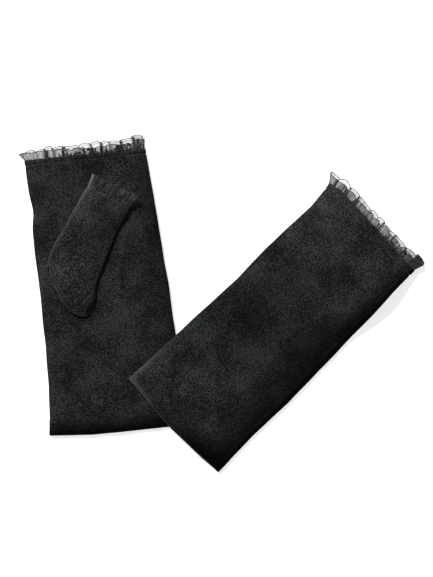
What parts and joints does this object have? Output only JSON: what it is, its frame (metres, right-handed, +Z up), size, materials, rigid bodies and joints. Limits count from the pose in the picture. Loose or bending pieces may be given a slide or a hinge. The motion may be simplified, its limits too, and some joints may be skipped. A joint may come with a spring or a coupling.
{
  "type": "pair of fingerless wrist warmers",
  "caption": "Pair of fingerless felted-knit wrist warmers with set-in thumb tubes folded over the palms and gathered organza ruffles at the finger and thumb openings.",
  "frame": {"origin": "on the table, under the middle of the pair as it lies", "axes": "+X across the pair from the left-hand glove to the right-hand one, +Y towards the left glove's fingers, +Z up from the table"},
  "size_m": [0.3319, 0.2738, 0.0179],
  "materials": {
    "felted_knit": "matt, fuzzy",
    "seam_cloth": "matt, fuzzy",
    "organza": "sheer, slightly shiny"
  },
  "bodies": {
    "left_glove": {"left_palm_panel": "felted_knit", "left_back_panel": "felted_knit", "left_thumb_side_seam": "seam_cloth", "left_little_finger_side_seam": "seam_cloth", "left_finger_hem": "seam_cloth", "left_wrist_hem": "seam_cloth", "left_finger_ruffle": "organza", "left_thumb_root": "felted_knit"},
    "left_thumb": {"left_thumb_outer_panel": "felted_knit", "left_thumb_inner_panel": "felted_knit", "left_thumb_fold_edge": "felted_knit", "left_thumb_seam_edge": "seam_cloth", "left_thumb_hem": "seam_cloth", "left_thumb_ruffle": "organza"},
    "right_glove": {"right_palm_panel": "felted_knit", "right_back_panel": "felted_knit", "right_thumb_side_seam": "seam_cloth", "right_little_finger_side_seam": "seam_cloth", "right_finger_hem": "seam_cloth", "right_wrist_hem": "seam_cloth", "right_finger_ruffle": "organza", "right_thumb_root": "felted_knit"},
    "right_thumb": {"right_thumb_outer_panel": "felted_knit", "right_thumb_inner_panel": "felted_knit", "right_thumb_fold_edge": "felted_knit", "right_thumb_seam_edge": "seam_cloth", "right_thumb_hem": "seam_cloth", "right_thumb_ruffle": "organza"}
  },
  "joints": [
    {"name": "left_thumb_fold", "type": "hinge", "parent": "left_glove", "child": "left_thumb", "pos_m": [-0.12246, 0.01349, 0.0135], "axis": [0.9181, -0.3963, 0], "range_deg": [0, 90]},
    {"name": "right_glove_lift", "type": "slide", "parent": "left_glove", "child": "right_glove", "axis": [0, 0, 1], "range_m": [0, 0.1]},
    {"name": "right_thumb_fold", "type": "hinge", "parent": "right_glove", "child": "right_thumb", "pos_m": [0.0319, 0.0053, 0.0044], "axis": [-0.2436, 0.9699, 0], "range_deg": [0, 90]}
  ]
}
